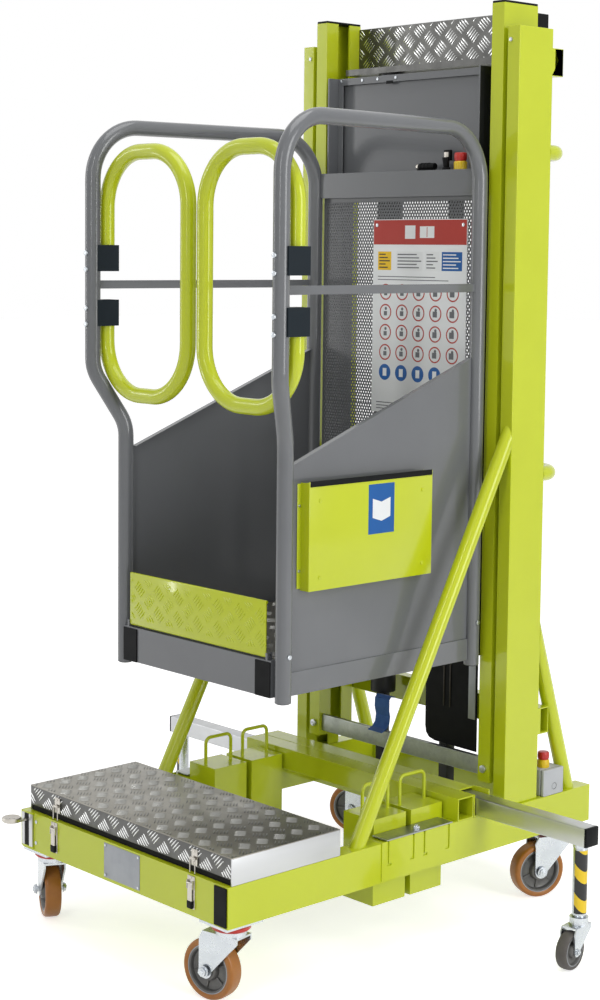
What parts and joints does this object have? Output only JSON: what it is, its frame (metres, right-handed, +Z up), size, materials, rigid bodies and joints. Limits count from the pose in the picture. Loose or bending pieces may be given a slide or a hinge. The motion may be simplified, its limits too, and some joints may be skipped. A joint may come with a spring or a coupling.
{
  "type": "vertical mast lift",
  "caption": "Push-around vertical mast lift: castored base with step box and outriggers, two-stage mast and guarded cage with swing gates.",
  "frame": {"origin": "on the floor under the middle of the machine outline", "axes": "+X to the right of someone standing in the cage entry and facing the mast, +Y from the entry back to the mast, +Z up"},
  "size_m": [1.29, 1.174, 2.018],
  "materials": {
    "lime": "gloss powder coat",
    "grey": "satin powder coat",
    "black_plastic": "moulded",
    "dark_block": "moulded",
    "rubber": "moulded",
    "zinc": "zinc plated",
    "aluminium": "rolled",
    "tread": "cast polyurethane",
    "grey_tread": "moulded rubber",
    "hub": "cast",
    "red": "moulded",
    "board": "printed sheet",
    "black_metal": "satin powder coat"
  },
  "bodies": {
    "chassis": {"base_frame": "lime", "rail_caps": "black_plastic", "battery_block": "black_plastic", "lid_seal": "rubber", "outer_mast": "lime", "mast_braces": "lime", "push_handles": "lime", "outrigger_housings": "lime", "ballast_blocks": "lime", "ballast_brackets": "lime", "ballast_straps": "zinc", "mast_posts": "black_metal", "base_stop": "red", "foot_pedal": "zinc", "latch_levers": "zinc", "castor_plates": "zinc"},
    "box_lid": {"box_lid": "aluminium", "lid_hooks": "zinc"},
    "inner_mast": {"inner_mast": "lime", "inner_shoes": "black_plastic", "column_caps": "black_plastic", "mast_tread_panel": "aluminium", "mast_foot_bar": "zinc", "ram_barrel": "black_metal"},
    "cage": {"cage_hoops": "grey", "cage_floor": "grey", "deck_tread": "aluminium", "sill_caps": "black_plastic", "cage_panels": "grey", "mast_pan": "grey", "carriage": "grey", "control_shelf": "grey", "grille_panel": "grey", "sign_board": "board", "document_case": "lime", "cage_controls": "red", "gate_hinge_blocks": "dark_block"},
    "gate_left": {"gate_left": "lime"},
    "gate_right": {"gate_right": "lime"},
    "toe_flap": {"toe_flap": "lime"},
    "castor_fl_fork": {"castor_fl_fork": "zinc"},
    "castor_fl_wheel": {"castor_fl_hub": "hub", "castor_fl_tyre": "tread"},
    "castor_fr_fork": {"castor_fr_fork": "zinc"},
    "castor_fr_wheel": {"castor_fr_hub": "hub", "castor_fr_tyre": "tread"},
    "castor_rl_fork": {"castor_rl_fork": "zinc"},
    "castor_rl_wheel": {"castor_rl_hub": "hub", "castor_rl_tyre": "tread"},
    "castor_rr_fork": {"castor_rr_fork": "zinc"},
    "castor_rr_wheel": {"castor_rr_hub": "hub", "castor_rr_tyre": "tread"},
    "outrigger_left_bar": {"outrigger_left_bar": "aluminium"},
    "outrigger_left_fork": {"outrigger_left_fork": "zinc"},
    "outrigger_left_wheel": {"outrigger_left_hub": "hub", "outrigger_left_tyre": "grey_tread"},
    "outrigger_right_bar": {"outrigger_right_bar": "aluminium"},
    "outrigger_right_fork": {"outrigger_right_fork": "zinc"},
    "outrigger_right_wheel": {"outrigger_right_hub": "hub", "outrigger_right_tyre": "grey_tread"}
  },
  "joints": [
    {"name": "lid_hinge", "type": "hinge", "parent": "chassis", "child": "box_lid", "pos_m": [0, -0.222, 0.2584], "axis": [-1, 0, 0], "range_deg": [0, 80]},
    {"name": "mast_lift", "type": "slide", "parent": "chassis", "child": "inner_mast", "axis": [0, 0, 1], "range_m": [0, 1.15]},
    {"name": "cage_lift", "type": "slide", "parent": "inner_mast", "child": "cage", "axis": [0, 0, 1], "range_m": [0, 1.15]},
    {"name": "gate_left_hinge", "type": "hinge", "parent": "cage", "child": "gate_left", "pos_m": [-0.305, -0.322, 1.31], "axis": [0, 0, 1], "range_deg": [0, 75]},
    {"name": "gate_right_hinge", "type": "hinge", "parent": "cage", "child": "gate_right", "pos_m": [0.305, -0.322, 1.31], "axis": [0, 0, -1], "range_deg": [0, 75]},
    {"name": "toe_flap_hinge", "type": "hinge", "parent": "cage", "child": "toe_flap", "pos_m": [0, -0.315, 0.6615], "axis": [-1, 0, 0], "range_deg": [0, 85]},
    {"name": "castor_fl_swivel", "type": "hinge", "parent": "chassis", "child": "castor_fl_fork", "pos_m": [-0.298, -0.474, 0], "axis": [0, 0, 1], "continuous": true},
    {"name": "castor_fl_roll", "type": "hinge", "parent": "castor_fl_fork", "child": "castor_fl_wheel", "pos_m": [-0.33899, -0.45312, 0.0625], "axis": [-0.454, -0.891, 0], "continuous": true},
    {"name": "castor_fr_swivel", "type": "hinge", "parent": "chassis", "child": "castor_fr_fork", "pos_m": [0.298, -0.474, 0], "axis": [0, 0, 1], "continuous": true},
    {"name": "castor_fr_roll", "type": "hinge", "parent": "castor_fr_fork", "child": "castor_fr_wheel", "pos_m": [0.25284, -0.48278, 0.0625], "axis": [0.1908, -0.9816, 0], "continuous": true},
    {"name": "castor_rl_swivel", "type": "hinge", "parent": "chassis", "child": "castor_rl_fork", "pos_m": [-0.298, 0.518, 0], "axis": [0, 0, 1], "continuous": true},
    {"name": "castor_rl_roll", "type": "hinge", "parent": "castor_rl_fork", "child": "castor_rl_wheel", "pos_m": [-0.33969, 0.49856, 0.0625], "axis": [0.4226, -0.9063, 0], "continuous": true},
    {"name": "castor_rr_swivel", "type": "hinge", "parent": "chassis", "child": "castor_rr_fork", "pos_m": [0.298, 0.518, 0], "axis": [0, 0, 1], "continuous": true},
    {"name": "castor_rr_roll", "type": "hinge", "parent": "castor_rr_fork", "child": "castor_rr_wheel", "pos_m": [0.28077, 0.47535, 0.0625], "axis": [0.9272, -0.3746, 0], "continuous": true},
    {"name": "outrigger_left_slide", "type": "slide", "parent": "chassis", "child": "outrigger_left_bar", "axis": [1, 0, 0], "range_m": [0, 0.25]},
    {"name": "outrigger_left_swivel", "type": "hinge", "parent": "outrigger_left_bar", "child": "outrigger_left_fork", "pos_m": [-0.615, 0.158, 0], "axis": [0, 0, 1], "continuous": true},
    {"name": "outrigger_left_roll", "type": "hinge", "parent": "outrigger_left_fork", "child": "outrigger_left_wheel", "pos_m": [-0.598, 0.12856, 0.04], "axis": [0.866, 0.5, 0], "continuous": true},
    {"name": "outrigger_right_slide", "type": "slide", "parent": "chassis", "child": "outrigger_right_bar", "axis": [-1, 0, 0], "range_m": [0, 0.25]},
    {"name": "outrigger_right_swivel", "type": "hinge", "parent": "outrigger_right_bar", "child": "outrigger_right_fork", "pos_m": [0.615, 0.21, 0], "axis": [0, 0, 1], "continuous": true},
    {"name": "outrigger_right_roll", "type": "hinge", "parent": "outrigger_right_fork", "child": "outrigger_right_wheel", "pos_m": [0.61973, 0.17633, 0.04], "axis": [0.9903, 0.1392, 0], "continuous": true}
  ],
  "couplings": [
    {"joint": "cage_lift", "follows": "mast_lift", "ratio": 1}
  ]
}
